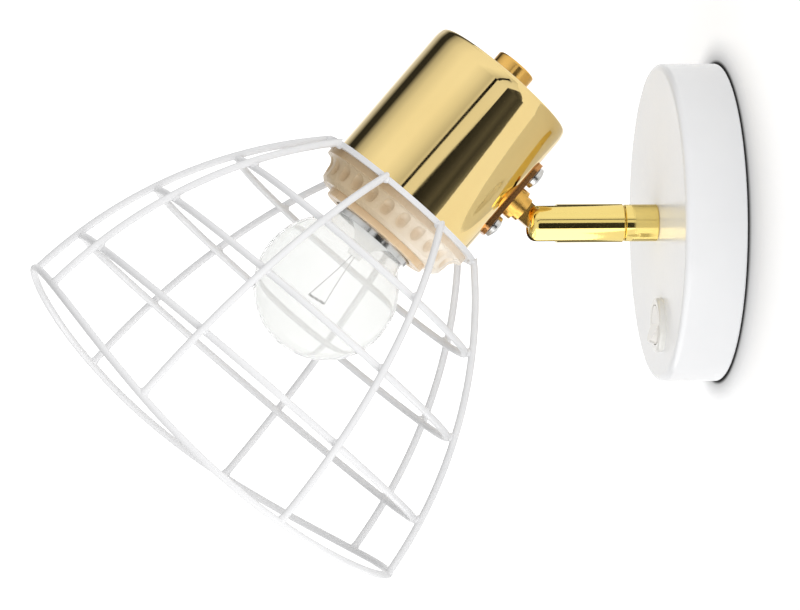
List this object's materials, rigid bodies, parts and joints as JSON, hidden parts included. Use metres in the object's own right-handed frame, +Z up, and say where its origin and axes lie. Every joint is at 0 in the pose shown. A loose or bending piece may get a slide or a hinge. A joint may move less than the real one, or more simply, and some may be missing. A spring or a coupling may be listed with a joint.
{
  "type": "wall sconce",
  "caption": "Switched wall spotlight: round base, short swivel arm, tilting knuckle, polished metal cup and a bent wire cage round a clear globe bulb.",
  "frame": {"origin": "centre of the base on the wall, midway between the two wall screw slots", "axes": "+Y into the wall, -Y out into the room along the arm, +Z up, +X to the right of someone who faces the wall"},
  "size_m": [0.1492, 0.2156, 0.1707],
  "materials": {
    "white_paint": "satin powder coat",
    "gold": "polished, lacquered",
    "plated_steel": "zinc or nickel plated",
    "brass_insert": "plain",
    "white_plastic": "gloss",
    "cream_plastic": "satin",
    "black_insulator": "dark vitrified glass",
    "clear_glass": "clear",
    "cap_metal": "rolled, bright",
    "filament_wire": "drawn wire"
  },
  "bodies": {
    "base": {"mounting_plate": "plated_steel", "base_shell": "white_paint", "rim_screws": "plated_steel", "terminal_block": "white_plastic", "terminal_sleeves": "brass_insert", "terminal_screws": "plated_steel", "block_screw": "plated_steel", "earth_washer": "plated_steel", "earth_screw": "plated_steel", "switch_body": "white_plastic", "switch_blades": "brass_insert", "tail_nut": "plated_steel", "tail_washer": "plated_steel", "arm_collar": "gold", "swivel_spindle": "plated_steel", "swivel_washer": "plated_steel"},
    "rocker": {"switch_rocker": "white_plastic"},
    "arm": {"swivel_bush": "plated_steel", "arm_barrel": "gold", "pivot_screw": "gold", "friction_washers": "plated_steel"},
    "head": {"knuckle": "gold", "strap": "gold", "strap_screws": "plated_steel", "strap_nuts": "plated_steel", "cup": "gold", "cap_nut": "gold", "cup_nipple": "plated_steel", "holder_nut": "plated_steel", "holder_dome": "cream_plastic", "holder_shell": "cream_plastic", "holder_core": "cream_plastic", "screw_shell": "brass_insert", "centre_contact": "brass_insert", "holder_terminals": "plated_steel", "neck_plate": "white_paint", "shade_ring": "cream_plastic", "bulb_glass": "clear_glass", "bulb_cap": "cap_metal", "bulb_insulator": "black_insulator", "bulb_button": "cap_metal", "bulb_stem": "clear_glass", "bulb_leads": "filament_wire", "bulb_filament": "filament_wire", "cage_rim": "white_paint", "cage_ring_upper": "white_paint", "cage_ring_middle": "white_paint", "cage_ring_lower": "white_paint", "cage_wire_1": "white_paint", "cage_wire_2": "white_paint", "cage_wire_3": "white_paint", "cage_wire_4": "white_paint", "cage_wire_5": "white_paint", "cage_wire_6": "white_paint", "cage_wire_7": "white_paint", "cage_wire_8": "white_paint"}
  },
  "joints": [
    {"name": "arm_swivel", "type": "hinge", "parent": "base", "child": "arm", "pos_m": [0, -0.035, 0], "axis": [0, -1, 0], "range_deg": [-158, 158]},
    {"name": "head_tilt", "type": "hinge", "parent": "arm", "child": "head", "pos_m": [0, -0.0565, 0], "axis": [1, 0, 0], "range_deg": [-48.8, 48.2]},
    {"name": "switch_rocker_turn", "type": "hinge", "parent": "base", "child": "rocker", "pos_m": [0.007, -0.0198, -0.032], "axis": [1, 0, 0], "range_deg": [0, 22]}
  ]
}
